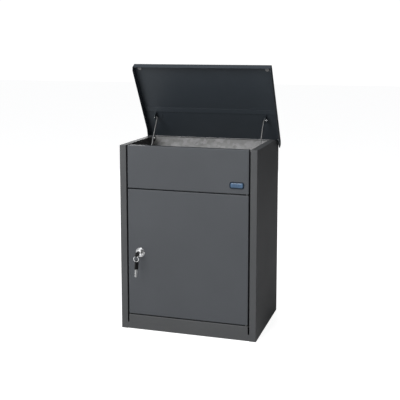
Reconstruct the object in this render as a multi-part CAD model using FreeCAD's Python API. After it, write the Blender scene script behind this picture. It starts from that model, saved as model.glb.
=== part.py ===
import FreeCAD, Part
import math
import os

# Parcel drop box of folded sheet steel.
# Frame: origin at the centre of the footprint on the ground, +X to the right when facing the door,
# +Y to the rear, +Z up. All sizes in millimetres. The lid is stored open, the door closed.

# Cabinet
CABINET_WIDTH = 440.0
CABINET_DEPTH = 310.0
CABINET_HEIGHT = 590.0
SHEET = 1.0
BEND = 1.0
FLANGE = 21.0
TOP_FLANGE_END = 45.0
RETURN_DEPTH = 20.0
LIP = 12.0
SEAM = 0.1
NOTCH_DEPTH = 12.0
NOTCH_HEIGHT = 6.5

# Front openings
SIDE_GAP = 5.0
DOOR_GAP = 3.5
SKIRT_HEIGHT = 46.5
LOW_SKIRT_HEIGHT = 21.0
UPPER_PANEL_HEIGHT = 134.0
DOOR_DEPTH = 18.0

# Base and rear
FLOOR_SHEET = 1.2
UPTURN = 18.0
MAT_THICKNESS = 3.0
ANCHOR_SPACING_X = 300.0
ANCHOR_SPACING_Y = 200.0
ANCHOR_RADIUS = 5.0
WALL_SPACING_X = 300.0
WALL_SPACING_Z = 300.0
WALL_HOLES_BELOW_TOP = 160.0
WALL_HOLE_RADIUS = 4.25

# Lid
LID_OVERHANG = 8.0
LID_FRONT_OVERHANG = 3.0
LID_SHEET = 1.0
LID_RISE = 2.5
LID_FRONT_FLANGE = 20.0
LID_SIDE_FLANGE = 25.0
LID_OPEN_ANGLE = 58.0
PIVOT_FROM_REAR = 17.0
PIVOT_BELOW_TOP = 12.5
LID_LOBE_RADIUS = 16.0
LID_REAR_PAST_PIVOT = 1.5
STUD_RADIUS = 4.0
RUNNING = 0.05
BUMPER_RADIUS = 6.0
STRIP_WIDTH = 17.0
STRIP_THICKNESS = 2.1
STRIP_FROM_REAR = 106.0
STRIP_EDGE = 0.5

# Lift rods and tray, an equal-sided four-bar
ARM = 91.0
ROD_RADIUS = 2.5
ROD_BEND = 4.5
ROD_FLANGE_GAP = 13.0
EAR_PLAY = 0.5
TRAY_PIVOT_FROM_REAR = 83.0
TRAY_BELOW_LID_PIVOT = 102.0
TRAY_SLOPE = 6.0
TRAY_FRONT_GAP = 8.0
TRAY_SHEET = 1.5
TRAY_WALL = 12.0
TRAY_DROP = 8.5
EAR_SHEET = 1.5
EYE_MARGIN = 8.0
EYE_REACH = 11.0
TRAY_PIN_RADIUS = 3.0
POST_RADIUS = 6.0
CAP_RADIUS = 4.5
CAP_LENGTH = 3.4
SIDE_PLAY = 0.3
STOP_FROM_TRAY_EDGE = 28.0
STOP_RADIUS = 4.0
STOP_PLAY = 0.6

# Deflector behind the tray
DEFLECTOR_SHEET = 1.2
DEFLECTOR_TOP_DROP = 3.0
DEFLECTOR_RUN = 68.0
DEFLECTOR_FALL = 96.0

# Door hinge
HINGE_INSET_X = 6.5
HINGE_INSET_Y = 6.5
HINGE_PIN_RADIUS = 3.0
HINGE_BUSH_RADIUS = 4.0

# Lock and keys
LOCK_FROM_LEFT = 66.0
LOCK_HEIGHT = 252.0
LOCK_FLANGE_RADIUS = 15.0
LOCK_SKIRT = 1.3
LOCK_RIM_RADIUS = 12.6
LOCK_FLANGE = 3.2
LOCK_BODY_RADIUS = 9.0
PLUG_RADIUS = 5.5
PLUG_HEAD_RADIUS = 9.4
CAM_OVERLAP = 10.0
CAM_WIDTH = 16.0
CAM_SHEET = 2.0
CAM_PLAY = 0.3
DRIVE = 7.0
KEY_THICKNESS = 2.0
KEY_WIDTH = 8.6
KEYWAY_PLAY = 0.1
KEY_BLADE = 24.0
BOW_LENGTH = 30.0
BOW_WIDTH = 15.0
BOW_THICKNESS = 4.0
BOW_EMBED = 7.0
BOW_RECESS = 0.5
BOW_GAP = 8.0
KEY_HOLE_RADIUS = 3.0
KEY_HOLE_END = 5.0
KEY_HOLE_SIDE = 2.8
RING_RADIUS = 8.0
RING_WIRE = 1.0
RING_PLAY = 0.45
SPARE_PLAY = 1.5
SPARE_TURN = -20.0
SPARE_TILT = -6.6

# Badge
BADGE_WIDTH = 45.0
BADGE_HEIGHT = 21.0
BADGE_CORNER = 7.0
BADGE_RIM = 3.4
BADGE_PROUD = 2.4
BADGE_RECESS = 0.8
BADGE_FROM_RIGHT = 63.0
BADGE_ABOVE_DOOR = 26.0

# Places that follow from the sizes above
X_OUT = CABINET_WIDTH / 2
X_IN = X_OUT - SHEET
Y_FRONT = -CABINET_DEPTH / 2
Y_REAR = CABINET_DEPTH / 2
Y_SKIN = Y_FRONT + SHEET
Y_LIP = Y_FRONT + RETURN_DEPTH
X_LIP = X_OUT - FLANGE
X_PANEL = X_LIP - SIDE_GAP
Z_DOOR = SKIRT_HEIGHT + DOOR_GAP
Z_PANEL = CABINET_HEIGHT - UPPER_PANEL_HEIGHT
Z_DOOR_TOP = Z_PANEL - DOOR_GAP
PIVOT_Y = Y_REAR - PIVOT_FROM_REAR
PIVOT_Z = CABINET_HEIGHT - PIVOT_BELOW_TOP
LID_TOP = CABINET_HEIGHT + LID_RISE + LID_SHEET
LID_UNDER = CABINET_HEIGHT + LID_RISE
LID_X = X_OUT + LID_OVERHANG
LID_FRONT = Y_FRONT - LID_FRONT_OVERHANG
LID_REAR = PIVOT_Y + LID_REAR_PAST_PIVOT
TRAY_Y = Y_REAR - TRAY_PIVOT_FROM_REAR
ROD_FALL = TRAY_BELOW_LID_PIVOT
TRAY_Z = PIVOT_Z - ROD_FALL
TRAY_LENGTH = (TRAY_Y - Y_LIP - TRAY_FRONT_GAP) / math.cos(math.radians(TRAY_SLOPE))
ROD_RUN = PIVOT_Y - TRAY_Y
LID_EYE_Y = PIVOT_Y - ARM
OPEN = math.radians(LID_OPEN_ANGLE)
EYE_OPEN_Y = PIVOT_Y - ARM * math.cos(OPEN)
EYE_OPEN_Z = PIVOT_Z + ARM * math.sin(OPEN)
CRANK_OPEN_Y = EYE_OPEN_Y - ROD_RUN
CRANK_OPEN_Z = EYE_OPEN_Z - ROD_FALL
HINGE_X = X_PANEL - HINGE_INSET_X
HINGE_Y = Y_FRONT + HINGE_INSET_Y
LOCK_X = -X_OUT + LOCK_FROM_LEFT
ROD_FROM_CENTRE = X_LIP - ROD_FLANGE_GAP - ROD_RADIUS
EAR_FROM_CENTRE = ROD_FROM_CENTRE - ROD_BEND - EAR_PLAY
EAR_IN = EAR_FROM_CENTRE - EAR_SHEET
LID_EAR_IN = ROD_FROM_CENTRE + ROD_BEND + EAR_PLAY
LID_EAR_OUT = LID_EAR_IN + EAR_SHEET
CAM_LENGTH = LOCK_FROM_LEFT - FLANGE + CAM_OVERLAP


def vec(x, y, z):
    return FreeCAD.Vector(x, y, z)


def box(x0, x1, y0, y1, z0, z1):
    return Part.makeBox(x1 - x0, y1 - y0, z1 - z0, vec(x0, y0, z0))


def rod_x(x0, x1, y, z, radius):
    return Part.makeCylinder(radius, x1 - x0, vec(x0, y, z), vec(1, 0, 0))


def rod_y(y0, y1, x, z, radius):
    return Part.makeCylinder(radius, y1 - y0, vec(x, y0, z), vec(0, 1, 0))


def rod_z(z0, z1, x, y, radius):
    return Part.makeCylinder(radius, z1 - z0, vec(x, y, z0), vec(0, 0, 1))


def mirrored(shape):
    return shape.mirror(vec(0, 0, 0), vec(1, 0, 0))


def both_sides(shape):
    return Part.makeCompound([mirrored(shape), shape])


def edges_where(shape, test):
    found = []
    for edge in shape.Edges:
        if len(edge.Vertexes) == 2 and test(edge.Vertexes[0].Point, edge.Vertexes[1].Point):
            found.append(edge)
    return found


def rounded_outline(points, radii, place):
    """Closed outline of straight runs with arcs of the given radii at its corners."""
    count = len(points)
    starts = []
    ends = []
    middles = []
    for i in range(count):
        px, py = points[i - 1]
        x, y = points[i]
        nx, ny = points[(i + 1) % count]
        back = math.hypot(px - x, py - y)
        ahead = math.hypot(nx - x, ny - y)
        ux, uy = (px - x) / back, (py - y) / back
        wx, wy = (nx - x) / ahead, (ny - y) / ahead
        opening = math.acos(max(-1.0, min(1.0, ux * wx + uy * wy)))
        if radii[i] <= 0 or opening > 3.13:
            starts.append((x, y))
            ends.append((x, y))
            middles.append(None)
            continue
        trim = radii[i] / math.tan(opening / 2)
        bx, by = ux + wx, uy + wy
        size = math.hypot(bx, by)
        reach = radii[i] / math.sin(opening / 2) - radii[i]
        starts.append((x + ux * trim, y + uy * trim))
        ends.append((x + wx * trim, y + wy * trim))
        middles.append((x + bx / size * reach, y + by / size * reach))
    edges = []
    for i in range(count):
        if middles[i] is not None:
            arc = Part.Arc(place(*starts[i]), place(*middles[i]), place(*ends[i]))
            edges.append(arc.toShape())
        a = place(*ends[i])
        b = place(*starts[(i + 1) % count])
        if a.distanceToPoint(b) > 1e-6:
            edges.append(Part.makeLine(a, b))
    return Part.Face(Part.Wire(edges))


def on_x(level):
    return lambda a, b: vec(level, a, b)


def on_y(level):
    return lambda a, b: vec(a, level, b)


def on_z(level):
    return lambda a, b: vec(a, b, level)


def folded(path, thick, bend, place, run):
    """Sheet folded along a path: the path is one face, the thickness lies on its left."""
    count = len(path)
    offset = []
    near = []
    far = []
    for i in range(count):
        normals = []
        turns = []
        if i > 0:
            turns.append((path[i][0] - path[i - 1][0], path[i][1] - path[i - 1][1]))
        if i < count - 1:
            turns.append((path[i + 1][0] - path[i][0], path[i + 1][1] - path[i][1]))
        for dx, dy in turns:
            size = math.hypot(dx, dy)
            normals.append((-dy / size, dx / size))
        if len(normals) == 1:
            nx, ny = normals[0]
            offset.append((path[i][0] + nx * thick, path[i][1] + ny * thick))
            near.append(0)
            far.append(0)
            continue
        mx = normals[0][0] + normals[1][0]
        my = normals[0][1] + normals[1][1]
        square = mx * mx + my * my
        offset.append((path[i][0] + 2 * mx * thick / square, path[i][1] + 2 * my * thick / square))
        left = turns[0][0] * turns[1][1] - turns[0][1] * turns[1][0] > 0
        near.append(bend + thick if left else bend)
        far.append(bend if left else bend + thick)
    points = list(path) + offset[::-1]
    radii = near + far[::-1]
    return rounded_outline(points, radii, place).extrude(run)


def pan(x0, x1, z0, z1, depth, lip):
    """Front skin with four returned edges and an inward lip behind them."""
    back = Y_FRONT + depth
    outer = box(x0, x1, Y_FRONT, back, z0, z1)
    inner = box(x0 + SHEET, x1 - SHEET, Y_SKIN, back + 5, z0 + SHEET, z1 - SHEET)
    outer = outer.makeFillet(BEND + SHEET, edges_where(outer, lambda a, b: min(a.y, b.y) < Y_FRONT + 0.01))
    inner = inner.makeFillet(BEND, edges_where(inner, lambda a, b: min(a.y, b.y) < Y_SKIN + 0.01))
    shell = outer.cut(inner)
    rim = box(x0 + SHEET, x1 - SHEET, back - SHEET, back, z0 + SHEET, z1 - SHEET)
    rim = rim.cut(box(x0 + lip, x1 - lip, back - 2 * SHEET, back + 1, z0 + lip, z1 - lip))
    return shell.fuse(rim).removeSplitter()


def side_panel():
    """Right wall with front flange, inner lip and top flange; the rear top corner is notched."""
    outer = box(X_LIP, X_OUT, Y_FRONT, Y_REAR, 0, CABINET_HEIGHT)
    inner = box(X_LIP - 5, X_IN, Y_SKIN, Y_REAR + 5, -5, CABINET_HEIGHT - SHEET)

    def outer_bend(a, b):
        upright = min(a.x, b.x) > X_OUT - 0.01 and max(a.y, b.y) < Y_FRONT + 0.01
        level = min(a.x, b.x) > X_OUT - 0.01 and min(a.z, b.z) > CABINET_HEIGHT - 0.01
        brow = max(a.y, b.y) < Y_FRONT + 0.01 and min(a.z, b.z) > CABINET_HEIGHT - 0.01
        return upright or level or brow

    def inner_bend(a, b):
        upright = min(a.x, b.x) > X_IN - 0.01 and max(a.y, b.y) < Y_SKIN + 0.01
        level = min(a.x, b.x) > X_IN - 0.01 and min(a.z, b.z) > CABINET_HEIGHT - SHEET - 0.01
        brow = max(a.y, b.y) < Y_SKIN + 0.01 and min(a.z, b.z) > CABINET_HEIGHT - SHEET - 0.01
        return upright or level or brow

    outer = outer.makeFillet(BEND + SHEET, edges_where(outer, outer_bend))
    inner = inner.makeFillet(BEND, edges_where(inner, inner_bend))
    wall = outer.cut(inner)
    lip = box(X_LIP, X_LIP + SHEET, Y_SKIN, Y_LIP, LOW_SKIRT_HEIGHT, CABINET_HEIGHT - SHEET)
    wall = wall.fuse(lip)
    flange_end = Y_REAR - TOP_FLANGE_END
    relief = box(X_LIP - 1, X_IN, flange_end, Y_REAR + 1, CABINET_HEIGHT - 4, CABINET_HEIGHT + 1)
    notch = box(X_IN - 2, X_OUT + 1, Y_REAR - NOTCH_DEPTH, Y_REAR + 1,
                CABINET_HEIGHT - NOTCH_HEIGHT, CABINET_HEIGHT + 1)
    stud_hole = rod_x(X_IN - 1, X_OUT + 1, PIVOT_Y, PIVOT_Z, STUD_RADIUS + RUNNING)
    return wall.cut(relief).cut(notch).cut(stud_hole).removeSplitter()


def rear_panel():
    top = CABINET_HEIGHT - NOTCH_HEIGHT
    x = X_IN - SEAM
    sheet = box(-x, x, Y_REAR - SHEET, Y_REAR, 0, top)
    upper_holes = CABINET_HEIGHT - WALL_HOLES_BELOW_TOP
    fold_bottom = UPTURN + 4
    fold_top = top - 50
    for side in (-1, 1):
        edge = min(side * x, side * (x - SHEET))
        sheet = sheet.fuse(box(edge, edge + SHEET, Y_REAR - UPTURN, Y_REAR - SHEET, fold_bottom, fold_top))
    for px in (-WALL_SPACING_X / 2, WALL_SPACING_X / 2):
        for pz in (upper_holes, upper_holes - WALL_SPACING_Z):
            sheet = sheet.cut(rod_y(Y_REAR - 3, Y_REAR + 1, px, pz, WALL_HOLE_RADIUS))
    return sheet.removeSplitter()


def anchor_cuts(shape, radius, z0, z1):
    for px in (-ANCHOR_SPACING_X / 2, ANCHOR_SPACING_X / 2):
        for py in (-ANCHOR_SPACING_Y / 2, ANCHOR_SPACING_Y / 2):
            shape = shape.cut(rod_z(z0, z1, px, py, radius))
    return shape


def base_pan():
    """Floor with upturned edges and a front skirt that carries the lower door pin."""
    x = X_IN - SEAM
    back = Y_REAR - SHEET - SEAM
    path = [(Y_LIP, SKIRT_HEIGHT - LIP), (Y_LIP, SKIRT_HEIGHT), (Y_FRONT, SKIRT_HEIGHT), (Y_FRONT, 0),
            (Y_LIP, 0)]
    skirt = folded(path, SHEET, BEND, on_x(-X_PANEL), vec(2 * X_PANEL, 0, 0))
    low = box(-X_LIP + SEAM, X_LIP - SEAM, Y_FRONT, Y_SKIN, BEND + SHEET, LOW_SKIRT_HEIGHT - SEAM)
    toe = box(-X_LIP + SEAM, X_LIP - SEAM, Y_FRONT + BEND + SHEET, Y_LIP, 0, SHEET)
    floor = box(-x, x, Y_SKIN + BEND, back, 0, FLOOR_SHEET)
    pan_shape = skirt.fuse([low, toe, floor])
    for side in (-1, 1):
        edge = min(side * x, side * (x - SHEET))
        pan_shape = pan_shape.fuse(box(edge, edge + SHEET, Y_LIP, back, FLOOR_SHEET, UPTURN))
    pan_shape = pan_shape.fuse(box(-x, x, back - SHEET, back, FLOOR_SHEET, UPTURN))
    pan_shape = pan_shape.cut(rod_z(SKIRT_HEIGHT - 2, SKIRT_HEIGHT + 1, HINGE_X, HINGE_Y, HINGE_PIN_RADIUS))
    return anchor_cuts(pan_shape, ANCHOR_RADIUS, -1, FLOOR_SHEET + 1).removeSplitter()


def floor_mat():
    x = X_IN - 3 * SHEET
    mat = box(-x, x, Y_LIP + 1, Y_REAR - 4 * SHEET, FLOOR_SHEET, FLOOR_SHEET + MAT_THICKNESS)
    return anchor_cuts(mat, ANCHOR_RADIUS * 2, 0, FLOOR_SHEET + MAT_THICKNESS + 1)


def panel_screw_places():
    x = X_PANEL - LIP / 2
    low = Z_PANEL + 24
    high = CABINET_HEIGHT - 25
    return [(-x, low), (-x, high), (x, low), (x, high)]


def upper_front_panel():
    shape = pan(-X_PANEL, X_PANEL, Z_PANEL, CABINET_HEIGHT, RETURN_DEPTH, LIP)
    for x, z in panel_screw_places():
        shape = shape.cut(rod_y(Y_LIP - 3, Y_LIP + 1, x, z, 2.6))
    return shape.cut(rod_z(Z_PANEL - 1, Z_PANEL + 2, HINGE_X, HINGE_Y, HINGE_PIN_RADIUS))


def front_panel_brackets():
    """Angles that join the upper front panel to the side walls."""
    path = [(X_PANEL - LIP, Y_LIP), (X_IN, Y_LIP), (X_IN, Y_LIP + 20)]
    low = Z_PANEL + 6
    high = CABINET_HEIGHT - 8
    angle = folded(path, 1.5, BEND, on_z(low), vec(0, 0, high - low))
    for x, z in panel_screw_places():
        angle = angle.cut(rod_y(Y_LIP - 1, Y_LIP + 3, x, z, 2.6))
    return both_sides(angle)


def front_panel_screws():
    solids = []
    for x, z in panel_screw_places():
        head = rod_y(Y_LIP + 1.5, Y_LIP + 4.5, x, z, 4.5)
        head = head.makeFillet(1.4, edges_where_round(head, Y_LIP + 4.5))
        shank = rod_y(Y_LIP - 7, Y_LIP + 2, x, z, 2.45)
        socket = Part.makeBox(2.4, 2, 2.4, vec(x - 1.2, Y_LIP + 3.4, z - 1.2))
        solids.append(head.fuse(shank).cut(socket))
    return Part.makeCompound(solids)


def front_panel_nuts():
    solids = []
    for x, z in panel_screw_places():
        nut = hexagon(8.0, vec(x, Y_LIP - SHEET, z), vec(0, -1, 0), 4.0)
        solids.append(nut.cut(rod_y(Y_LIP - 8, Y_LIP, x, z, 2.45)))
    return Part.makeCompound(solids)


def edges_where_round(shape, level):
    found = []
    for edge in shape.Edges:
        if len(edge.Vertexes) == 1 and abs(edge.Vertexes[0].Point.y - level) < 0.01:
            found.append(edge)
    return found


def hexagon(flats, centre, axis, length):
    """Hexagonal prism from a centre along an axis that lies on X or Y."""
    radius = flats / math.sqrt(3)
    points = []
    for i in range(7):
        a = math.radians(60 * i)
        c = radius * math.cos(a)
        s = radius * math.sin(a)
        if abs(axis.x) > 0.5:
            points.append(centre + vec(0, c, s))
        else:
            points.append(centre + vec(c, 0, s))
    return Part.Face(Part.makePolygon(points)).extrude(axis * length)


def badge_place():
    return X_OUT - BADGE_FROM_RIGHT, Z_PANEL + BADGE_ABOVE_DOOR


def badge_outline(inset, y0, y1):
    """Rounded rectangle about the badge centre, shrunk by an inset."""
    x, z = badge_place()
    half_x = BADGE_WIDTH / 2 - inset
    half_z = BADGE_HEIGHT / 2 - inset
    points = [(x - half_x, z - half_z), (x + half_x, z - half_z), (x + half_x, z + half_z),
              (x - half_x, z + half_z)]
    return rounded_outline(points, [BADGE_CORNER - inset] * 4, on_y(y0)).extrude(vec(0, y1 - y0, 0))


def badge_bezel():
    rim = badge_outline(0, Y_FRONT - BADGE_PROUD, Y_FRONT)
    return rim.cut(badge_outline(BADGE_RIM, Y_FRONT - 2 * BADGE_PROUD, Y_FRONT + 1))


def badge_insert():
    """Blank plate inside the rim, with a low rounded edge."""
    face = Y_FRONT - BADGE_PROUD + BADGE_RECESS
    plate = badge_outline(BADGE_RIM + SEAM, face, Y_FRONT)
    front = [e for e in plate.Edges if max(v.Point.y for v in e.Vertexes) < face + 0.01]
    return plate.makeFillet(1.0, front)


def rear_deflector():
    """Sloping plate that sends parcels from the rear wall on to the tray."""
    wall = Y_REAR - SHEET
    top = CABINET_HEIGHT - DEFLECTOR_TOP_DROP - 1
    foot_y = wall - DEFLECTOR_RUN
    foot_z = top - DEFLECTOR_FALL
    path = [(wall, top - 26), (wall, top), (foot_y, foot_z), (foot_y + 6, foot_z - 6)]
    width = X_IN - 2 * SHEET
    return folded(path, DEFLECTOR_SHEET, BEND, on_x(-width), vec(2 * width, 0, 0))


def door_panel():
    shape = pan(-X_PANEL, X_PANEL, Z_DOOR, Z_DOOR_TOP, DOOR_DEPTH, LIP)
    shape = shape.cut(rod_y(Y_FRONT - 1, Y_SKIN + 1, LOCK_X, LOCK_HEIGHT, LOCK_BODY_RADIUS + 0.1))
    radius = HINGE_BUSH_RADIUS - 1
    for level in (Z_DOOR, Z_DOOR_TOP):
        shape = shape.cut(rod_z(level - 2, level + 2, HINGE_X, HINGE_Y, radius + 0.5))
    return shape


def door_stiffener():
    """Hat channel welded behind the door skin."""
    foot = 10
    rise = 11
    middle = 20
    start = 30
    path = [(start, Y_SKIN), (start + foot, Y_SKIN), (start + foot + 5, Y_SKIN + rise),
            (start + foot + 5 + middle, Y_SKIN + rise), (start + foot + 10 + middle, Y_SKIN),
            (start + 2 * foot + 10 + middle, Y_SKIN)]
    height = Z_DOOR_TOP - Z_DOOR - 2 * LIP - 16
    return folded(path, SHEET, BEND, on_z(Z_DOOR + LIP + 8), vec(0, 0, height))


def hinge_levels():
    """Each pin: the sheet face that its head seats on, and the way its shank points."""
    return [(SKIRT_HEIGHT - SHEET, 1, Z_DOOR), (Z_PANEL + SHEET, -1, Z_DOOR_TOP)]


def door_hinge_pins():
    solids = []
    for seat, way, flange in hinge_levels():
        tip = flange + way * 11
        low, high = sorted((seat, tip))
        shank = rod_z(low, high, HINGE_X, HINGE_Y, HINGE_PIN_RADIUS)
        low, high = sorted((seat, seat - way * 2))
        solids.append(shank.fuse(rod_z(low, high, HINGE_X, HINGE_Y, HINGE_BUSH_RADIUS)).removeSplitter())
    return Part.makeCompound(solids)


def door_hinge_bushes():
    """Nylon bushes pressed into the door's top and bottom returns."""
    solids = []
    for seat, way, flange in hinge_levels():
        sleeve_end = flange + way * 9
        inside = flange + way * SHEET
        low, high = sorted((flange - way * 0.8, inside))
        neck = rod_z(low, high, HINGE_X, HINGE_Y, HINGE_BUSH_RADIUS - 0.5)
        low, high = sorted((inside, sleeve_end))
        sleeve = rod_z(low, high, HINGE_X, HINGE_Y, HINGE_BUSH_RADIUS)
        low, high = sorted((seat, sleeve_end + way))
        bore = rod_z(low, high, HINGE_X, HINGE_Y, HINGE_PIN_RADIUS + RUNNING)
        solids.append(neck.fuse(sleeve).cut(bore).removeSplitter())
    return Part.makeCompound(solids)


def stop_places():
    low = (SKIRT_HEIGHT - LIP + 1, Z_DOOR + LIP, Z_DOOR + 3)
    high = (Z_DOOR_TOP - LIP, Z_PANEL + LIP - 1, Z_DOOR_TOP - 10)
    return [low, high]


def door_stop_tabs():
    """Plates behind the door's free edge that the closed door rests on."""
    solids = []
    for low, high, pad in stop_places():
        solids.append(box(-X_PANEL + 20, -X_PANEL + 50, Y_LIP, Y_LIP + 1.5, low, high))
    return Part.makeCompound(solids)


def door_stop_buffers():
    solids = []
    back = Y_FRONT + DOOR_DEPTH
    for low, high, pad in stop_places():
        solids.append(box(-X_PANEL + 24, -X_PANEL + 46, back + 0.1, Y_LIP, pad, pad + 7))
    return Part.makeCompound(solids)


def lock_levels():
    face = Y_FRONT - LOCK_FLANGE
    end = Y_LIP
    return face, end


def lock_body():
    face, end = lock_levels()
    skirt = rod_y(Y_FRONT - LOCK_SKIRT, Y_FRONT, LOCK_X, LOCK_HEIGHT, LOCK_FLANGE_RADIUS)
    skirt = skirt.makeFillet(0.8, edges_where_round(skirt, Y_FRONT - LOCK_SKIRT))
    rim = rod_y(face, Y_FRONT, LOCK_X, LOCK_HEIGHT, LOCK_RIM_RADIUS)
    rim = rim.makeFillet(1.2, edges_where_round(rim, face))
    barrel = rod_y(Y_FRONT, end, LOCK_X, LOCK_HEIGHT, LOCK_BODY_RADIUS)
    shape = skirt.fuse([rim, barrel]).removeSplitter()
    shape = shape.cut(rod_y(face - 1, end + 1, LOCK_X, LOCK_HEIGHT, PLUG_RADIUS + RUNNING))
    shape = shape.cut(rod_y(face - 1, face + 2.1, LOCK_X, LOCK_HEIGHT, PLUG_HEAD_RADIUS + RUNNING))
    return shape.removeSplitter()


def lock_nut():
    nut = hexagon(24.0, vec(LOCK_X, Y_SKIN, LOCK_HEIGHT), vec(0, 1, 0), 5.0)
    return nut.cut(rod_y(Y_FRONT, Y_SKIN + 10, LOCK_X, LOCK_HEIGHT, LOCK_BODY_RADIUS))


def lock_plug():
    face, end = lock_levels()
    head = rod_y(face + 0.4, face + 2, LOCK_X, LOCK_HEIGHT, PLUG_HEAD_RADIUS)
    head = head.makeFillet(0.7, edges_where_round(head, face + 0.4))
    shank = rod_y(face + 2, end, LOCK_X, LOCK_HEIGHT, PLUG_RADIUS)
    half = DRIVE / 2
    drive = box(LOCK_X - half, LOCK_X + half, end, end + CAM_PLAY + CAM_SHEET,
                LOCK_HEIGHT - half, LOCK_HEIGHT + half)
    tapped = rod_y(end - 4, end + 5, LOCK_X, LOCK_HEIGHT, 2.0)
    half_slot = KEY_THICKNESS / 2 + KEYWAY_PLAY
    half_tall = KEY_WIDTH / 2 + KEYWAY_PLAY
    slot = box(LOCK_X - half_slot, LOCK_X + half_slot, face - 1, end - 5, LOCK_HEIGHT - half_tall,
               LOCK_HEIGHT + half_tall)
    return head.fuse([shank, drive]).removeSplitter().cut(slot).cut(tapped)


def lock_cam():
    """Flat cam, stored turned up out of the way of the left flange."""
    face, end = lock_levels()
    y = end + CAM_PLAY
    half = CAM_WIDTH / 2
    points = [(LOCK_X - half, LOCK_HEIGHT - half), (LOCK_X + half, LOCK_HEIGHT - half),
              (LOCK_X + half, LOCK_HEIGHT + CAM_LENGTH), (LOCK_X - half, LOCK_HEIGHT + CAM_LENGTH)]
    blade = rounded_outline(points, [half - 1, half - 1, 4, 4], on_y(y)).extrude(vec(0, CAM_SHEET, 0))
    half = DRIVE / 2
    square = box(LOCK_X - half, LOCK_X + half, y - 1, y + 5, LOCK_HEIGHT - half, LOCK_HEIGHT + half)
    return blade.cut(square)


def cam_screw():
    face, end = lock_levels()
    y = end + CAM_PLAY + CAM_SHEET
    head = rod_y(y, y + 2.6, LOCK_X, LOCK_HEIGHT, 5.6)
    head = head.makeFillet(0.8, edges_where_round(head, y + 2.6))
    return head.fuse(rod_y(end - 3.5, y + 1, LOCK_X, LOCK_HEIGHT, 1.95)).removeSplitter()


def bow_start():
    """Outer end of the bow of the key in the lock."""
    return Y_FRONT - LOCK_FLANGE - BOW_GAP - BOW_LENGTH


def ring_y():
    return bow_start() + KEY_HOLE_END


def ring_top():
    return LOCK_HEIGHT - KEY_HOLE_SIDE - KEY_HOLE_RADIUS + RING_WIRE + RING_PLAY


def spare_hole_z():
    return ring_top() - 2 * RING_RADIUS + RING_WIRE + SPARE_PLAY - KEY_HOLE_RADIUS


def in_lock(x):
    """Key lengths along +Y and widths along +Z."""
    return lambda a, b: vec(x, bow_start() + a, LOCK_HEIGHT + b)


def on_ring(x):
    """Key lengths downwards and widths along +Y, with the key's hole over the ring."""
    top = spare_hole_z() + KEY_HOLE_END
    return lambda a, b: vec(x, ring_y() + KEY_HOLE_SIDE + b, top - a)


def hung(shape):
    """Let the spare key hang from its hole, then turn it about the vertical."""
    turned = shape.copy()
    turned.rotate(vec(LOCK_X, ring_y(), spare_hole_z()), vec(1, 0, 0), SPARE_TILT)
    turned.rotate(vec(LOCK_X, ring_y(), 0), vec(0, 0, 1), SPARE_TURN)
    return turned


def bow_pad(place, inset, start, end, thick):
    """Long rounded plate on the key's centre line."""
    half = BOW_WIDTH / 2 - inset
    points = [(start, -half), (end, -half), (end, half), (start, half)]
    radii = [half - 0.5, half * 0.6, half * 0.6, half - 0.5]
    return rounded_outline(points, radii, place).extrude(vec(thick, 0, 0))


def key_bow(side):
    """Plastic key bow, hollowed a little on both faces, with its ring hole and the blade's slot."""
    half = BOW_THICKNESS / 2
    pad = bow_pad(side(LOCK_X - half), 0, 0, BOW_LENGTH, BOW_THICKNESS)
    rims = [e for e in pad.Edges if max(v.X for v in e.Vertexes) - min(v.X for v in e.Vertexes) < 0.01]
    pad = pad.makeFillet(0.9, rims)
    start = KEY_HOLE_END + KEY_HOLE_RADIUS + 3
    for x in (LOCK_X - half - 1, LOCK_X + half - BOW_RECESS):
        pad = pad.cut(bow_pad(side(x), 3, start, BOW_LENGTH - 3, 1 + BOW_RECESS))
    centre = side(LOCK_X)(KEY_HOLE_END, -KEY_HOLE_SIDE)
    pad = pad.cut(rod_x(LOCK_X - 9, LOCK_X + 9, centre.y, centre.z, KEY_HOLE_RADIUS))
    width = KEY_WIDTH / 2
    corners = [(BOW_LENGTH - BOW_EMBED, -width), (BOW_LENGTH + 2, -width), (BOW_LENGTH + 2, width),
               (BOW_LENGTH - BOW_EMBED, width)]
    slot = rounded_outline(corners, [0, 0, 0, 0], side(LOCK_X - KEY_THICKNESS / 2))
    return pad.cut(slot.extrude(vec(KEY_THICKNESS, 0, 0)))


def key_blade(side):
    """Flat blade with cuts in one edge and a pointed tip."""
    half = KEY_WIDTH / 2
    start = BOW_LENGTH - BOW_EMBED
    tip = BOW_LENGTH + KEY_BLADE
    points = [(start, half), (start, -half)]
    depths = [1.6, 0.9, 2.2, 1.2]
    pitch = (KEY_BLADE - 8) / len(depths)
    for i in range(len(depths)):
        middle = BOW_LENGTH + 5 + pitch * (i + 0.5)
        points.append((middle - pitch * 0.4, -half))
        points.append((middle, -half + depths[i]))
        points.append((middle + pitch * 0.4, -half))
    points.append((tip - 2, -half))
    points.append((tip, -half + 3))
    points.append((tip, half - 2))
    points.append((tip - 2, half))
    place = side(LOCK_X - KEY_THICKNESS / 2)
    wire = [place(a, b) for a, b in points]
    face = Part.Face(Part.makePolygon(wire + [wire[0]]))
    return face.extrude(vec(KEY_THICKNESS, 0, 0))


def door_key_blade():
    return key_blade(in_lock)


def door_key_bow():
    return key_bow(in_lock)


def key_ring():
    centre = vec(LOCK_X, ring_y(), ring_top() - RING_RADIUS)
    return Part.makeTorus(RING_RADIUS, RING_WIRE, centre, vec(0, 1, 0))


def spare_key_blade():
    return hung(key_blade(on_ring))


def spare_key_bow():
    return hung(key_bow(on_ring))


def opened(shape):
    """Turn a closed lid piece about the lid pivot to the open stop."""
    turned = shape.copy()
    turned.rotate(vec(0, PIVOT_Y, PIVOT_Z), vec(1, 0, 0), -LID_OPEN_ANGLE)
    return turned


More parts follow.
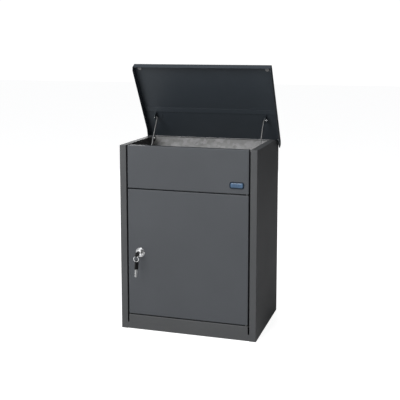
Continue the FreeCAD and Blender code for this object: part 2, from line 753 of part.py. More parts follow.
def lid_panel():
    low = LID_TOP - LID_FRONT_FLANGE
    outer = box(-LID_X, LID_X, LID_FRONT, LID_REAR, low, LID_TOP)
    inner = box(-LID_X + LID_SHEET, LID_X - LID_SHEET, LID_FRONT + LID_SHEET, LID_REAR + 5,
                low - 5, LID_UNDER)

    def bends(limit_x, front, top):
        def test(a, b):
            side = min(abs(a.x), abs(b.x)) > limit_x - 0.01
            same_side = a.x * b.x > 0
            ahead = max(a.y, b.y) < front + 0.01
            above = min(a.z, b.z) > top - 0.01
            return (side and same_side and above) or (side and same_side and ahead) or (ahead and above)
        return test

    outer = outer.makeFillet(BEND + LID_SHEET, edges_where(outer, bends(LID_X, LID_FRONT, LID_TOP)))
    inner_test = bends(LID_X - LID_SHEET, LID_FRONT + LID_SHEET, LID_UNDER)
    inner = inner.makeFillet(BEND, edges_where(inner, inner_test))
    shell = outer.cut(inner)
    side_low = LID_TOP - LID_SIDE_FLANGE
    lobe_low = PIVOT_Z - LID_LOBE_RADIUS
    rear = PIVOT_Y + LID_LOBE_RADIUS
    top = LID_TOP - BEND - LID_SHEET
    points = [(LID_FRONT + 3, low + 2), (LID_FRONT + 10, side_low), (PIVOT_Y - 45, side_low),
              (PIVOT_Y - 22, lobe_low), (rear, lobe_low), (rear, top), (LID_FRONT + 3, top)]
    radii = [0, 6, 10, 8, 14, 12, 0]
    x = LID_X - LID_SHEET
    flange = rounded_outline(points, radii, on_x(x)).extrude(vec(LID_SHEET, 0, 0))
    stud_hole = rod_x(x - 1, LID_X + 1, PIVOT_Y, PIVOT_Z, STUD_RADIUS)
    shell = shell.fuse([flange, mirrored(flange)]).cut(both_sides(stud_hole)).removeSplitter()
    return opened(shell)


def lid_cross_strip():
    """Stiffening strip across the lid, thicker towards the hinge."""
    front = LID_REAR - STRIP_FROM_REAR - STRIP_WIDTH
    back = LID_REAR - STRIP_FROM_REAR
    points = [(front, LID_UNDER), (front, LID_UNDER - STRIP_EDGE), (back, LID_UNDER - STRIP_THICKNESS),
              (back, LID_UNDER)]
    x = X_OUT + 2
    strip = rounded_outline(points, [0, 0.3, 0.5, 0], on_x(-x)).extrude(vec(2 * x, 0, 0))
    return opened(strip)


def lid_rod_brackets():
    """Angle brackets behind the strip, each with an eye for a lift rod."""
    back = LID_EYE_Y + EYE_REACH
    front = LID_REAR - STRIP_FROM_REAR + 1
    low = PIVOT_Z - EYE_MARGIN
    path = [(LID_EAR_OUT, low), (LID_EAR_OUT, LID_UNDER), (LID_EAR_IN - 18, LID_UNDER)]
    angle = folded(path, EAR_SHEET, BEND, on_y(front), vec(0, back - front, 0))

    def low_corner(a, b):
        return max(a.z, b.z) < low + 0.1 and abs(a.x - b.x) > EAR_SHEET / 2

    angle = angle.makeFillet(EYE_MARGIN - 1, edges_where(angle, low_corner))
    eye = rod_x(LID_EAR_IN - 1, LID_EAR_OUT + 1, LID_EYE_Y, PIVOT_Z, ROD_RADIUS + RUNNING)
    return opened(both_sides(angle.cut(eye)))


def lid_bumpers():
    """Rubber pads near the lid's front corners that land on the side flanges."""
    x = X_LIP + FLANGE * 0.6
    y = LID_FRONT + 16.5
    pad = rod_z(CABINET_HEIGHT + 0.1, LID_UNDER, x, y, BUMPER_RADIUS)
    return opened(both_sides(pad))


def lid_pivot_studs():
    shank = rod_x(X_IN - 9, LID_X, PIVOT_Y, PIVOT_Z, STUD_RADIUS)
    collar = rod_x(LID_X - LID_SHEET - 1.5, LID_X - LID_SHEET, PIVOT_Y, PIVOT_Z, STUD_RADIUS + 3)
    return opened(both_sides(shank.fuse(collar).removeSplitter()))


def lid_pivot_spacers():
    """Nylon washers between the lid's side flanges and the cabinet walls."""
    ring = rod_x(X_OUT + SIDE_PLAY, LID_X - LID_SHEET - 1.5, PIVOT_Y, PIVOT_Z, STUD_RADIUS + 3)
    return opened(both_sides(ring.cut(rod_x(X_IN, LID_X, PIVOT_Y, PIVOT_Z, STUD_RADIUS))))


def lid_pivot_nuts():
    end = X_IN - SIDE_PLAY
    nut = hexagon(12.0, vec(end, PIVOT_Y, PIVOT_Z), vec(-1, 0, 0), 6.0)
    return opened(both_sides(nut.cut(rod_x(end - 8, end + 1, PIVOT_Y, PIVOT_Z, STUD_RADIUS))))


def lift_rod():
    """Right-hand rod: the upper end turns out through the lid's eye, the lower end in to the tray."""
    upper = vec(ROD_FROM_CENTRE, EYE_OPEN_Y, EYE_OPEN_Z)
    lower = vec(ROD_FROM_CENTRE, CRANK_OPEN_Y, CRANK_OPEN_Z)
    down = lower - upper
    down.normalize()
    cut = ROD_BEND * (1 - math.sqrt(0.5))
    out = vec(1, 0, 0)
    first = vec(LID_EAR_OUT + SIDE_PLAY + CAP_LENGTH - 1, EYE_OPEN_Y, EYE_OPEN_Z)
    last = vec(EAR_IN - SIDE_PLAY - CAP_LENGTH + 1, CRANK_OPEN_Y, CRANK_OPEN_Z)
    bend_start = upper + out * ROD_BEND
    bend_end = upper + down * ROD_BEND
    foot_start = lower - down * ROD_BEND
    foot_end = lower - out * ROD_BEND
    path = Part.Wire([
        Part.makeLine(first, bend_start),
        Part.Arc(bend_start, upper + out * cut + down * cut, bend_end).toShape(),
        Part.makeLine(bend_end, foot_start),
        Part.Arc(foot_start, lower - down * cut - out * cut, foot_end).toShape(),
        Part.makeLine(foot_end, last),
    ])
    section = Part.Wire([Part.makeCircle(ROD_RADIUS, first, vec(1, 0, 0))])
    return Part.Solid(path.makePipeShell([section], True, False))


def push_cap(face, way, y, z):
    """Domed cap on a rod end: it starts at a face and points to +X or -X."""
    end = face + way * CAP_LENGTH
    cap = rod_x(min(face, end), max(face, end), y, z, CAP_RADIUS)
    rims = [e for e in cap.Edges if len(e.Vertexes) == 1 and abs(e.Vertexes[0].Point.x - end) < 0.01]
    cap = cap.makeFillet(1.2, rims)
    inside = end - way
    return cap.cut(rod_x(min(face - way, inside), max(face - way, inside), y, z, ROD_RADIUS))


def rod_caps():
    """Push-on caps on the right-hand rod's two ends."""
    upper = push_cap(LID_EAR_OUT + SIDE_PLAY, 1, EYE_OPEN_Y, EYE_OPEN_Z)
    lower = push_cap(EAR_IN - SIDE_PLAY, -1, CRANK_OPEN_Y, CRANK_OPEN_Z)
    return Part.makeCompound([upper, lower])


def tray_place(x):
    slope = math.radians(TRAY_SLOPE)
    c = math.cos(slope)
    s = math.sin(slope)
    return lambda u, w: vec(x, TRAY_Y - u * c - w * s, TRAY_Z - u * s + w * c)


def crank_in_tray():
    slope = math.radians(TRAY_SLOPE)
    dy = CRANK_OPEN_Y - TRAY_Y
    dz = CRANK_OPEN_Z - TRAY_Z
    return -dy * math.cos(slope) - dz * math.sin(slope), -dy * math.sin(slope) + dz * math.cos(slope)


def parcel_tray():
    """Tilting tray: floor, front drop edge, low side walls and a tall cheek at each side."""
    u, w = crank_in_tray()
    floor_low = -TRAY_DROP
    wall_top = floor_low + TRAY_SHEET + TRAY_WALL
    points = [(-9, floor_low), (-9, 6), (u - EYE_MARGIN, w + EYE_MARGIN), (u + EYE_MARGIN, w + EYE_MARGIN),
              (u + 36, wall_top), (TRAY_LENGTH, wall_top), (TRAY_LENGTH, floor_low)]
    radii = [0, 6, 7, 7, 12, 4, 0]
    cheek = rounded_outline(points, radii, tray_place(EAR_IN)).extrude(vec(EAR_SHEET, 0, 0))
    outer = EAR_FROM_CENTRE + 1
    cheek = cheek.cut(rod_x(EAR_IN - 1, outer, TRAY_Y, TRAY_Z, TRAY_PIN_RADIUS + RUNNING))
    cheek = cheek.cut(rod_x(EAR_IN - 1, outer, CRANK_OPEN_Y, CRANK_OPEN_Z, ROD_RADIUS + RUNNING))
    path = [(TRAY_LENGTH, floor_low - 10), (TRAY_LENGTH, floor_low + TRAY_SHEET),
            (-4, floor_low + TRAY_SHEET)]
    run = vec(2 * EAR_FROM_CENTRE, 0, 0)
    floor = folded(path, TRAY_SHEET, BEND, tray_place(-EAR_FROM_CENTRE), run)
    return floor.fuse([cheek, mirrored(cheek)]).removeSplitter()


def tray_pivot_posts():
    start = EAR_FROM_CENTRE + SIDE_PLAY
    post = rod_x(start, X_IN, TRAY_Y, TRAY_Z, POST_RADIUS)
    pin = rod_x(EAR_IN - SIDE_PLAY - CAP_LENGTH + 1, start, TRAY_Y, TRAY_Z, TRAY_PIN_RADIUS)
    return both_sides(post.fuse(pin).removeSplitter())


def tray_pivot_caps():
    inner = EAR_IN - SIDE_PLAY
    cap = rod_x(inner - CAP_LENGTH, inner, TRAY_Y, TRAY_Z, POST_RADIUS)
    return both_sides(cap.cut(rod_x(inner - CAP_LENGTH + 1, inner + 1, TRAY_Y, TRAY_Z, TRAY_PIN_RADIUS)))


def stop_peg_centre():
    w = -TRAY_DROP + TRAY_SHEET + TRAY_WALL + STOP_RADIUS + STOP_PLAY
    return tray_place(0)(TRAY_LENGTH - STOP_FROM_TRAY_EDGE, w)


def tray_stop_pegs():
    centre = stop_peg_centre()
    return both_sides(rod_x(EAR_IN - 2, X_IN, centre.y, centre.z, 2.5))


def tray_stop_sleeves():
    centre = stop_peg_centre()
    sleeve = rod_x(EAR_IN - 1.5, EAR_FROM_CENTRE + 5, centre.y, centre.z, STOP_RADIUS)
    return both_sides(sleeve.cut(rod_x(EAR_IN - 3, X_IN, centre.y, centre.z, 2.5)))


NODES = {
    "left_side_panel": lambda: mirrored(side_panel()),
    "right_side_panel": side_panel,
    "rear_panel": rear_panel,
    "base_pan": base_pan,
    "floor_mat": floor_mat,
    "upper_front_panel": upper_front_panel,
    "front_panel_brackets": front_panel_brackets,
    "front_panel_screws": front_panel_screws,
    "front_panel_nuts": front_panel_nuts,
    "badge_bezel": badge_bezel,
    "badge_insert": badge_insert,
    "rear_deflector": rear_deflector,
    "door_panel": door_panel,
    "door_stiffener": door_stiffener,
    "door_hinge_pins": door_hinge_pins,
    "door_hinge_bushes": door_hinge_bushes,
    "door_stop_tabs": door_stop_tabs,
    "door_stop_buffers": door_stop_buffers,
    "lock_body": lock_body,
    "lock_nut": lock_nut,
    "lock_plug": lock_plug,
    "lock_cam": lock_cam,
    "cam_screw": cam_screw,
    "door_key_blade": door_key_blade,
    "door_key_bow": door_key_bow,
    "key_ring": key_ring,
    "spare_key_blade": spare_key_blade,
    "spare_key_bow": spare_key_bow,
    "lid_panel": lid_panel,
    "lid_cross_strip": lid_cross_strip,
    "lid_rod_brackets": lid_rod_brackets,
    "lid_bumpers": lid_bumpers,
    "lid_pivot_studs": lid_pivot_studs,
    "lid_pivot_spacers": lid_pivot_spacers,
    "lid_pivot_nuts": lid_pivot_nuts,
    "lift_rod_left": lambda: mirrored(lift_rod()),
    "lift_rod_right": lift_rod,
    "rod_caps_left": lambda: mirrored(rod_caps()),
    "rod_caps_right": rod_caps,
    "parcel_tray": parcel_tray,
    "tray_pivot_posts": tray_pivot_posts,
    "tray_pivot_caps": tray_pivot_caps,
    "tray_stop_pegs": tray_stop_pegs,
    "tray_stop_sleeves": tray_stop_sleeves,
}

os.makedirs("parts", exist_ok=True)
for name, build in NODES.items():
    build().exportStep("parts/" + name + ".step")
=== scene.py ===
import math

import bpy
import bmesh
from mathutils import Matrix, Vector


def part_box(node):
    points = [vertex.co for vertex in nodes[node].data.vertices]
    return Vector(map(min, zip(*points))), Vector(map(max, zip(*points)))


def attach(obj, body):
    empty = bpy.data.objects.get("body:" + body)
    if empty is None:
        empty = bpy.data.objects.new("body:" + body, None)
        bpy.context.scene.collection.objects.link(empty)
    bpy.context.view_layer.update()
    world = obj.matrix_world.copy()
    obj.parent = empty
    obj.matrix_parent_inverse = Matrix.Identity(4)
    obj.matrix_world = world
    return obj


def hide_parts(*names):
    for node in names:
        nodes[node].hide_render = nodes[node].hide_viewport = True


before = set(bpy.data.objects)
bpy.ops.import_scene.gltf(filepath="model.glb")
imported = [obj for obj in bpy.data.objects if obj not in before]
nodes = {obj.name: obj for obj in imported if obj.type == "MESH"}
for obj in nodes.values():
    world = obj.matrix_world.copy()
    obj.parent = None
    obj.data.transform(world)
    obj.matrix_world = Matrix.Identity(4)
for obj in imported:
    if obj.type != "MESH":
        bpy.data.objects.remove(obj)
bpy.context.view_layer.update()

# camera: the fitted angle, in metres and degrees
CAMERA_PLACE = (0.7333, -2.409, 0.9119)
CAMERA_DOWN = 7.759
CAMERA_ROUND = 17.048
CAMERA_LENS = 71.08
CAMERA_SHIFT = -0.13

# area lights: place, target, size, power
SOFTBOXES = {
    "key_softbox": ((-1.0, -2.9, 2.1), (0, 0, 0.35), (1.7, 1.7), 78),
    "back_softbox": ((-0.6, 2.7, 1.1), (0, 0.15, 0.35), (1.4, 1.4), 30),
    "top_softbox": ((0.1, -1.0, 2.9), (0, 0, 0.5), (1.4, 1.0), 26),
}

# white studio: what the camera sees, and what lights the object
BACKDROP_SEEN = 1.05
FLOOR_GLOW = 0.86
FLOOR_REFLECTED = 0.8
FILL_DARK = (0.05, 0.05, 0.05, 1)
FILL_BRIGHT = (0.5, 0.51, 0.53, 1)
FILL_SLOPE = -0.35

# key ring: two turns, crossing over between these shares of its length
RING_STEPS = 240
RING_TURN = 708
RING_START = -60
RING_CROSS_AT = 0.46
RING_CROSS_LENGTH = 0.08

# badge, in shares of its half height and in metres
RIM_CORNER = 0.667
INSERT_CORNER = 0.5
INSERT_EDGE = 0.0004
INSERT_DOME = 0.0012

# weld marks down the rear wall, in metres: ring radius and height above the sheet
WELD_INSET = 0.012
WELD_ROWS = 8
WELD_FIRST = 0.045
WELD_PITCH = 0.066
WELD_PROFILE = ((0.0042, -0.0001), (0.0036, 0.00022), (0.0029, 0.00016), (0.0023, 0.00003))
WELD_SIDES = 28

CORNERS = ((1, 1, 0), (-1, 1, 90), (-1, -1, 180), (1, -1, 270))


# ---------------------------------------------------------------- materials

def new_material(name):
    mat = bpy.data.materials.new(name)
    mat.use_nodes = True
    tree = mat.node_tree
    tree.nodes.clear()
    out = tree.nodes.new("ShaderNodeOutputMaterial")
    bsdf = tree.nodes.new("ShaderNodeBsdfPrincipled")
    tree.links.new(bsdf.outputs["BSDF"], out.inputs["Surface"])
    coord = tree.nodes.new("ShaderNodeTexCoord")
    return mat, tree, bsdf, coord


def add_noise(tree, coord, scale, detail=3.0, rough=0.5, stretch=None):
    tex = tree.nodes.new("ShaderNodeTexNoise")
    tex.inputs["Scale"].default_value = scale
    tex.inputs["Detail"].default_value = detail
    tex.inputs["Roughness"].default_value = rough
    source = coord.outputs["Object"]
    if stretch:
        mapping = tree.nodes.new("ShaderNodeMapping")
        mapping.inputs["Scale"].default_value = stretch
        tree.links.new(source, mapping.inputs["Vector"])
        source = mapping.outputs["Vector"]
    tree.links.new(source, tex.inputs["Vector"])
    return tex


def add_ramp(tree, factor, stops):
    ramp = tree.nodes.new("ShaderNodeValToRGB")
    ramp.color_ramp.elements[0].position = stops[0][0]
    ramp.color_ramp.elements[0].color = stops[0][1]
    ramp.color_ramp.elements[1].position = stops[-1][0]
    ramp.color_ramp.elements[1].color = stops[-1][1]
    for position, colour in stops[1:-1]:
        element = ramp.color_ramp.elements.new(position)
        element.color = colour
    tree.links.new(factor, ramp.inputs["Fac"])
    return ramp


def grey(value, tint=(1.0, 1.0, 1.0)):
    return (value * tint[0], value * tint[1], value * tint[2], 1.0)


def add_bump(tree, bsdf, height, strength, distance, before=None):
    bump = tree.nodes.new("ShaderNodeBump")
    bump.inputs["Strength"].default_value = strength
    bump.inputs["Distance"].default_value = distance
    tree.links.new(height, bump.inputs["Height"])
    if before is not None:
        tree.links.new(before.outputs["Normal"], bump.inputs["Normal"])
    tree.links.new(bump.outputs["Normal"], bsdf.inputs["Normal"])
    return bump


def powder_coat(name, base, tint, gloss=0.5, shine=0.36):
    """Fine-textured powder coat: small orange peel, tiny flecks, slow tone drift."""
    mat, tree, bsdf, coord = new_material(name)
    drift = add_noise(tree, coord, 5.0, 4.0, 0.55)
    fleck = add_noise(tree, coord, 2600.0, 1.0, 0.5)
    tone = add_ramp(tree, drift.outputs["Fac"],
                    [(0.3, grey(base * 0.93, tint)), (0.7, grey(base * 1.07, tint))])
    spots = add_ramp(tree, fleck.outputs["Fac"], [(0.35, grey(0.82)), (0.5, grey(1.0)), (0.68, grey(1.25))])
    mix = tree.nodes.new("ShaderNodeMix")
    mix.data_type = "RGBA"
    mix.blend_type = "MULTIPLY"
    mix.inputs["Factor"].default_value = 0.6
    tree.links.new(tone.outputs["Color"], mix.inputs["A"])
    tree.links.new(spots.outputs["Color"], mix.inputs["B"])
    tree.links.new(mix.outputs["Result"], bsdf.inputs["Base Color"])
    rough = add_ramp(tree, drift.outputs["Fac"], [(0.25, grey(gloss - 0.04)), (0.75, grey(gloss + 0.05))])
    tree.links.new(rough.outputs["Color"], bsdf.inputs["Roughness"])
    bsdf.inputs["Specular IOR Level"].default_value = shine
    peel = add_noise(tree, coord, 420.0, 2.0, 0.6)
    first = add_bump(tree, bsdf, peel.outputs["Fac"], 0.16, 0.0006)
    grain = add_noise(tree, coord, 1500.0, 1.0, 0.5)
    add_bump(tree, bsdf, grain.outputs["Fac"], 0.12, 0.0003, first)
    return mat


def galvanised(name):
    """Zinc-coated sheet with soft spangle and rolling marks."""
    mat, tree, bsdf, coord = new_material(name)
    cells = tree.nodes.new("ShaderNodeTexVoronoi")
    cells.inputs["Scale"].default_value = 95.0
    cells.inputs["Randomness"].default_value = 1.0
    tree.links.new(coord.outputs["Object"], cells.inputs["Vector"])
    tone = add_ramp(tree, cells.outputs["Color"], [(0.1, grey(0.2, (1.0, 1.0, 0.985))), (0.9, grey(0.3))])
    cloud = add_noise(tree, coord, 14.0, 4.0, 0.6)
    shade = add_ramp(tree, cloud.outputs["Fac"], [(0.3, grey(0.86)), (0.7, grey(1.06))])
    mix = tree.nodes.new("ShaderNodeMix")
    mix.data_type = "RGBA"
    mix.blend_type = "MULTIPLY"
    mix.inputs["Factor"].default_value = 1.0
    tree.links.new(tone.outputs["Color"], mix.inputs["A"])
    tree.links.new(shade.outputs["Color"], mix.inputs["B"])
    tree.links.new(mix.outputs["Result"], bsdf.inputs["Base Color"])
    bsdf.inputs["Metallic"].default_value = 0.75
    rough = add_ramp(tree, cells.outputs["Color"], [(0.0, grey(0.42)), (1.0, grey(0.56))])
    tree.links.new(rough.outputs["Color"], bsdf.inputs["Roughness"])
    lines = add_noise(tree, coord, 300.0, 2.0, 0.5, (0.05, 1.0, 1.0))
    add_bump(tree, bsdf, lines.outputs["Fac"], 0.08, 0.0004)
    return mat


def metal(name, value, tint, rough_low, rough_high, scale=900.0, stretch=None, strength=0.1):
    """Plated or polished metal with fine scratches and smudges."""
    mat, tree, bsdf, coord = new_material(name)
    smudge = add_noise(tree, coord, 60.0, 3.0, 0.6)
    tone = add_ramp(tree, smudge.outputs["Fac"], [(0.3, grey(value * 0.92, tint)), (0.7, grey(value, tint))])
    tree.links.new(tone.outputs["Color"], bsdf.inputs["Base Color"])
    bsdf.inputs["Metallic"].default_value = 1.0
    rough = add_ramp(tree, smudge.outputs["Fac"], [(0.3, grey(rough_low)), (0.75, grey(rough_high))])
    tree.links.new(rough.outputs["Color"], bsdf.inputs["Roughness"])
    marks = add_noise(tree, coord, scale, 2.0, 0.6, stretch)
    add_bump(tree, bsdf, marks.outputs["Fac"], strength, 0.0002)
    return mat


def moulded(name, value, tint, rough, grain_scale=1400.0, strength=0.2, coat=0.0, shine=0.5):
    """Moulded plastic or rubber with a fine spark-eroded grain."""
    mat, tree, bsdf, coord = new_material(name)
    drift = add_noise(tree, coord, 40.0, 3.0, 0.5)
    tone = add_ramp(tree, drift.outputs["Fac"],
                    [(0.3, grey(value * 0.88, tint)), (0.7, grey(value * 1.1, tint))])
    tree.links.new(tone.outputs["Color"], bsdf.inputs["Base Color"])
    ramp = add_ramp(tree, drift.outputs["Fac"], [(0.3, grey(rough - 0.04)), (0.7, grey(rough + 0.05))])
    tree.links.new(ramp.outputs["Color"], bsdf.inputs["Roughness"])
    grain = add_noise(tree, coord, grain_scale, 1.0, 0.5)
    add_bump(tree, bsdf, grain.outputs["Fac"], strength, 0.0002)
    bsdf.inputs["Coat Weight"].default_value = coat
    bsdf.inputs["Specular IOR Level"].default_value = shine
    return mat


MATS = {
    "panel": powder_coat("powder_coat_cabinet", 0.074, (0.97, 1.0, 1.03), 0.52),
    "front": powder_coat("powder_coat_front", 0.072, (0.93, 1.0, 1.1), 0.5),
    # the lid coat is a darker, bluer copy of the cabinet powder coat: painted shade standing in for the
    # lid's underside facing down and away from the lamps
    "lid": powder_coat("powder_coat_lid_painted_shade", 0.036, (0.78, 1.0, 1.24), 0.5, 0.5),
    "zinc": galvanised("galvanised_sheet"),
    "plated": metal("zinc_plated_steel", 0.62, (1.0, 1.0, 0.99), 0.26, 0.38),
    "rod": metal("dull_rod_steel", 0.2, (1.0, 1.0, 1.0), 0.38, 0.5, 500.0, (1.0, 1.0, 0.1)),
    "chrome": metal("polished_chrome", 0.82, (0.98, 0.99, 1.0), 0.07, 0.16, strength=0.04),
    "satin": metal("satin_lock_chrome", 0.5, (0.98, 0.99, 1.0), 0.16, 0.3, strength=0.06),
    "key": metal("nickel_key_steel", 0.95, (1.0, 0.998, 0.985), 0.5, 0.62, 700.0, (1.0, 1.0, 8.0)),
    "black": moulded("black_key_plastic", 0.01, (1.0, 1.0, 1.04), 0.42, shine=0.28),
    "nylon": moulded("black_nylon", 0.02, (1.0, 1.0, 1.0), 0.45),
    "rubber": moulded("black_rubber", 0.022, (1.0, 1.0, 1.0), 0.68, 900.0, 0.35),
    "silicone": moulded("grey_silicone", 0.3, (1.0, 1.0, 1.0), 0.4, 900.0, 0.15),
    "badge": moulded("blue_badge_gloss", 0.12, (0.5, 1.0, 1.75), 0.36, 1400.0, 0.02, 0.12, 0.4),
    "rim": moulded("navy_badge_rim", 0.013, (0.35, 1.05, 2.1), 0.4, 1400.0, 0.05, 0.0, 0.2),
}

USES = {
    "panel": ["left_side_panel", "right_side_panel", "rear_panel", "base_pan", "front_panel_brackets",
              "door_stiffener", "door_stop_tabs"],
    "front": ["upper_front_panel", "door_panel"],
    "lid": ["lid_panel", "lid_cross_strip", "lid_rod_brackets"],
    "zinc": ["rear_deflector", "parcel_tray"],
    "plated": ["front_panel_screws", "front_panel_nuts", "lock_nut", "lock_cam", "cam_screw",
               "lid_pivot_studs", "lid_pivot_nuts", "tray_pivot_posts", "tray_stop_pegs"],
    "rod": ["lift_rod_left", "lift_rod_right", "door_hinge_pins"],
    "rim": ["badge_bezel"],
    "satin": ["lock_body"],
    "chrome": ["lock_plug", "key_ring", "rod_caps_left", "rod_caps_right", "tray_pivot_caps"],
    "key": ["door_key_blade", "spare_key_blade"],
    "black": ["door_key_bow", "spare_key_bow"],
    "nylon": ["door_hinge_bushes", "lid_pivot_spacers"],
    "rubber": ["floor_mat", "door_stop_buffers", "tray_stop_sleeves"],
    "silicone": ["lid_bumpers"],
    "badge": ["badge_insert"],
}
for key, names in USES.items():
    for name in names:
        obj = nodes[name]
        obj.data.materials.clear()
        obj.data.materials.append(MATS[key])


# ---------------------------------------------------------------- detail pieces

def new_piece(name, bm, mat, body):
    """Turn a bmesh into a smooth-shaded object that rides on a body."""
    mesh = bpy.data.meshes.new(name)
    bmesh.ops.recalc_face_normals(bm, faces=bm.faces)
    bm.to_mesh(mesh)
    bm.free()
    for face in mesh.polygons:
        face.use_smooth = True
    mesh.set_sharp_from_angle(angle=math.radians(40))
    obj = bpy.data.objects.new(name, mesh)
    bpy.context.scene.collection.objects.link(obj)
    mesh.materials.append(MATS[mat])
    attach(obj, body)
    return obj


def bridge(bm, rings):
    """Join successive closed rings of vertices with quads."""
    count = len(rings[0])
    for near, far in zip(rings, rings[1:]):
        for i in range(count):
            j = (i + 1) % count
            bm.faces.new((near[i], near[j], far[j], far[i]))


def split_ring():
    """Two flat turns of spring wire with a stepped crossing, like a real split key ring."""
    low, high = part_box("key_ring")
    centre = (Vector(low) + Vector(high)) / 2
    wire = (high[1] - low[1]) / 2
    radius = (high[2] - low[2]) / 2 - wire
    half_wide = wire * 0.82
    half_thick = wire * 0.47
    corner = half_thick * 0.7
    profile = []
    for side_r, side_y, start in CORNERS:
        for step in range(4):
            a = math.radians(start + step * 30)
            profile.append((side_r * (half_wide - corner) + corner * math.cos(a),
                            side_y * (half_thick - corner) + corner * math.sin(a)))
    bm = bmesh.new()
    rings = []
    turn = math.radians(RING_TURN)
    for k in range(RING_STEPS + 1):
        a = math.radians(RING_START) + turn * k / RING_STEPS
        ramp = min(1.0, max(0.0, (k / RING_STEPS - RING_CROSS_AT) / RING_CROSS_LENGTH))
        ramp = ramp * ramp * (3 - 2 * ramp)
        y = centre.y + wire * 0.5 * (2 * ramp - 1)
        spin = Vector((math.cos(a), 0, math.sin(a)))
        mid = Vector((centre.x, y, centre.z)) + spin * radius
        taper = min(1.0, 0.45 + min(k, RING_STEPS - k) / 5)
        rings.append([bm.verts.new(mid + spin * r + Vector((0, h * taper, 0))) for r, h in profile])
    bridge(bm, rings)
    bm.faces.new(list(reversed(rings[0])))
    bm.faces.new(rings[-1])
    obj = new_piece("split_key_ring", bm, "chrome", "ring")
    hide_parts("key_ring")


def badge_loop(bm, node, inset, y, corner_share):
    """Closed rounded-rectangle loop of vertices, inset from a badge node's outline."""
    low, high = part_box(node)
    mid_x = (low[0] + high[0]) / 2
    mid_z = (low[2] + high[2]) / 2
    half_x = (high[0] - low[0]) / 2
    half_z = (high[2] - low[2]) / 2
    corner = half_z * corner_share
    radius = max(corner - inset, corner * 0.12)
    loop = []
    for sx, sz, start in CORNERS:
        for step in range(9):
            a = math.radians(start + step * 11.25)
            x = sx * (half_x - inset - radius) + radius * math.cos(a)
            z = sz * (half_z - inset - radius) + radius * math.sin(a)
            loop.append(bm.verts.new((mid_x + x, y, mid_z + z)))
    return loop


def badge_rim():
    """Rolled rim moulding, round across its width."""
    low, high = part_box("badge_bezel")
    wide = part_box("badge_insert")[0][0] - low[0]
    proud = high[1] - low[1]
    bm = bmesh.new()
    loops = [badge_loop(bm, "badge_bezel", 0.0, high[1], RIM_CORNER)]
    for k in range(11):
        a = math.radians(180 * k / 10)
        inset = wide * 0.5 * (1 - math.cos(a))
        rise = proud * (0.45 + 0.55 * math.sin(a))
        loops.append(badge_loop(bm, "badge_bezel", inset, high[1] - rise, RIM_CORNER))
    loops.append(badge_loop(bm, "badge_bezel", wide, high[1], RIM_CORNER))
    bridge(bm, loops)
    obj = new_piece("badge_rim_moulding", bm, "rim", "cabinet")
    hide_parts("badge_bezel")


def domed_badge():
    """Clear-coated resin insert with a soft pillow top inside the badge rim."""
    low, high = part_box("badge_insert")
    half_z = (high[2] - low[2]) / 2
    bm = bmesh.new()
    edge = low[1] + INSERT_EDGE
    loops = [badge_loop(bm, "badge_insert", 0.0, y, INSERT_CORNER) for y in (high[1], edge)]
    for k in range(1, 13):
        t = k / 12
        rise = INSERT_DOME * (1 - (1 - t) ** 3)
        loops.append(badge_loop(bm, "badge_insert", half_z * 0.97 * t, edge - rise, INSERT_CORNER))
    bridge(bm, loops)
    bm.faces.new(loops[-1])
    obj = new_piece("domed_badge_insert", bm, "badge", "cabinet")
    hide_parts("badge_insert")


def spot_welds():
    """Shallow rings that the welding electrodes leave down both edges of the rear wall."""
    low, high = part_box("rear_panel")
    bm = bmesh.new()
    y = high[1]
    for x in (low[0] + WELD_INSET, high[0] - WELD_INSET):
        for row in range(WELD_ROWS):
            z = WELD_FIRST + row * WELD_PITCH
            rings = []
            for radius, rise in WELD_PROFILE:
                ring = []
                for step in range(WELD_SIDES):
                    a = math.radians(360 / WELD_SIDES * step)
                    ring.append(bm.verts.new((x + radius * math.cos(a), y + rise, z + radius * math.sin(a))))
                rings.append(ring)
            bridge(bm, rings)
            bm.faces.new(rings[-1])
    new_piece("rear_spot_welds", bm, "panel", "cabinet")


split_ring()
badge_rim()
domed_badge()
spot_welds()


# ---------------------------------------------------------------- studio

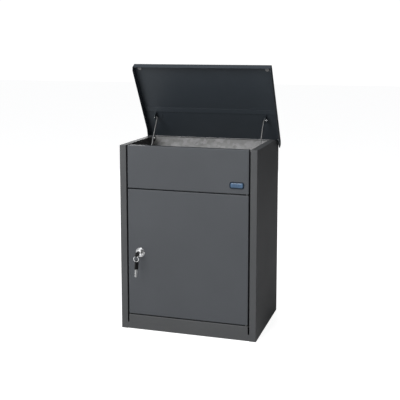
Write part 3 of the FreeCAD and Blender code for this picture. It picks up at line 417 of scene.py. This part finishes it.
def floor():
    """White paper floor that keeps the object's soft shadow."""
    mesh = bpy.data.meshes.new("studio_floor")
    bm = bmesh.new()
    bmesh.ops.create_grid(bm, x_segments=2, y_segments=2, size=14.0)
    bm.to_mesh(mesh)
    bm.free()
    obj = bpy.data.objects.new("studio_floor", mesh)
    bpy.context.scene.collection.objects.link(obj)
    obj.location.z = -0.0005
    mat, tree, bsdf, coord = new_material("studio_floor_white")
    soft = add_noise(tree, coord, 3.0, 2.0, 0.5)
    tone = add_ramp(tree, soft.outputs["Fac"], [(0.2, grey(0.42)), (0.8, grey(0.44))])
    tree.links.new(tone.outputs["Color"], bsdf.inputs["Base Color"])
    bsdf.inputs["Roughness"].default_value = 0.9
    # the camera sees the paper lit to white, and gloss sees it only in front of the object
    glow = tree.nodes.new("ShaderNodeEmission")
    glow.inputs["Strength"].default_value = FLOOR_GLOW
    path = tree.nodes.new("ShaderNodeLightPath")
    add = tree.nodes.new("ShaderNodeAddShader")
    mix = tree.nodes.new("ShaderNodeMixShader")
    out = [n for n in tree.nodes if n.type == "OUTPUT_MATERIAL"][0]
    tree.links.new(bsdf.outputs["BSDF"], add.inputs[0])
    tree.links.new(glow.outputs["Emission"], add.inputs[1])
    seen = tree.nodes.new("ShaderNodeMath")
    seen.operation = "MAXIMUM"
    tree.links.new(path.outputs["Is Camera Ray"], seen.inputs[0])
    place = tree.nodes.new("ShaderNodeSeparateXYZ")
    tree.links.new(coord.outputs["Object"], place.inputs["Vector"])
    front = tree.nodes.new("ShaderNodeMapRange")
    front.inputs["From Min"].default_value = 0.1
    front.inputs["From Max"].default_value = -0.6
    front.inputs["To Min"].default_value = 0.0
    front.inputs["To Max"].default_value = FLOOR_REFLECTED
    tree.links.new(place.outputs["Y"], front.inputs["Value"])
    part = tree.nodes.new("ShaderNodeMath")
    part.operation = "MULTIPLY"
    tree.links.new(front.outputs["Result"], part.inputs[1])
    tree.links.new(path.outputs["Is Glossy Ray"], part.inputs[0])
    tree.links.new(part.outputs["Value"], seen.inputs[1])
    tree.links.new(seen.outputs["Value"], mix.inputs["Fac"])
    tree.links.new(bsdf.outputs["BSDF"], mix.inputs[1])
    tree.links.new(add.outputs["Shader"], mix.inputs[2])
    tree.links.new(mix.outputs["Shader"], out.inputs["Surface"])
    mesh.materials.append(mat)
    return obj


floor()


def area(name, place, target, size, power):
    """Rectangular softbox aimed at a point."""
    data = bpy.data.lights.new(name, "AREA")
    data.shape = "RECTANGLE"
    data.size = size[0]
    data.size_y = size[1]
    data.energy = power
    obj = bpy.data.objects.new(name, data)
    bpy.context.scene.collection.objects.link(obj)
    obj.location = place
    obj.rotation_mode = "QUATERNION"
    obj.rotation_quaternion = (Vector(target) - Vector(place)).to_track_quat("-Z", "Y")


for softbox, setting in SOFTBOXES.items():
    area(softbox, *setting)

world = bpy.data.worlds.new("studio_world")
bpy.context.scene.world = world
world.use_nodes = True
wt = world.node_tree
wt.nodes.clear()
w_out = wt.nodes.new("ShaderNodeOutputWorld")
w_seen = wt.nodes.new("ShaderNodeBackground")
w_seen.inputs["Color"].default_value = (1, 1, 1, 1)
w_seen.inputs["Strength"].default_value = BACKDROP_SEEN
w_fill = wt.nodes.new("ShaderNodeBackground")
w_fill.inputs["Strength"].default_value = 1.0
w_coord = wt.nodes.new("ShaderNodeTexCoord")
w_split = wt.nodes.new("ShaderNodeSeparateXYZ")
wt.links.new(w_coord.outputs["Generated"], w_split.inputs["Vector"])
w_side = wt.nodes.new("ShaderNodeMath")
w_side.operation = "MULTIPLY_ADD"
w_side.inputs[1].default_value = FILL_SLOPE
w_side.inputs[2].default_value = 0.5
wt.links.new(w_split.outputs["X"], w_side.inputs[0])
w_depth = wt.nodes.new("ShaderNodeMath")
w_depth.operation = "MULTIPLY_ADD"
w_depth.inputs[1].default_value = FILL_SLOPE
wt.links.new(w_split.outputs["Y"], w_depth.inputs[0])
wt.links.new(w_side.outputs["Value"], w_depth.inputs[2])
w_ramp = wt.nodes.new("ShaderNodeValToRGB")
w_ramp.color_ramp.elements[0].position = 0.25
w_ramp.color_ramp.elements[0].color = FILL_DARK
w_ramp.color_ramp.elements[1].position = 0.85
w_ramp.color_ramp.elements[1].color = FILL_BRIGHT
wt.links.new(w_depth.outputs["Value"], w_ramp.inputs["Fac"])
wt.links.new(w_ramp.outputs["Color"], w_fill.inputs["Color"])
w_path = wt.nodes.new("ShaderNodeLightPath")
w_mix = wt.nodes.new("ShaderNodeMixShader")
wt.links.new(w_path.outputs["Is Camera Ray"], w_mix.inputs["Fac"])
wt.links.new(w_fill.outputs["Background"], w_mix.inputs[1])
wt.links.new(w_seen.outputs["Background"], w_mix.inputs[2])
wt.links.new(w_mix.outputs["Shader"], w_out.inputs["Surface"])

bpy.context.scene.view_settings.view_transform = "Standard"
bpy.context.scene.view_settings.look = "None"

# ---------------------------------------------------------------- camera

cam_data = bpy.data.cameras.new("photo_camera")
cam_data.sensor_width = 36.0
cam_data.lens = CAMERA_LENS
cam_data.shift_y = CAMERA_SHIFT
cam_data.clip_start = 0.05
cam_data.clip_end = 60.0
cam = bpy.data.objects.new("photo_camera", cam_data)
bpy.context.scene.collection.objects.link(cam)
cam.location = CAMERA_PLACE
cam.rotation_euler = (math.radians(90 - CAMERA_DOWN), 0.0, math.radians(CAMERA_ROUND))
bpy.context.scene.camera = cam
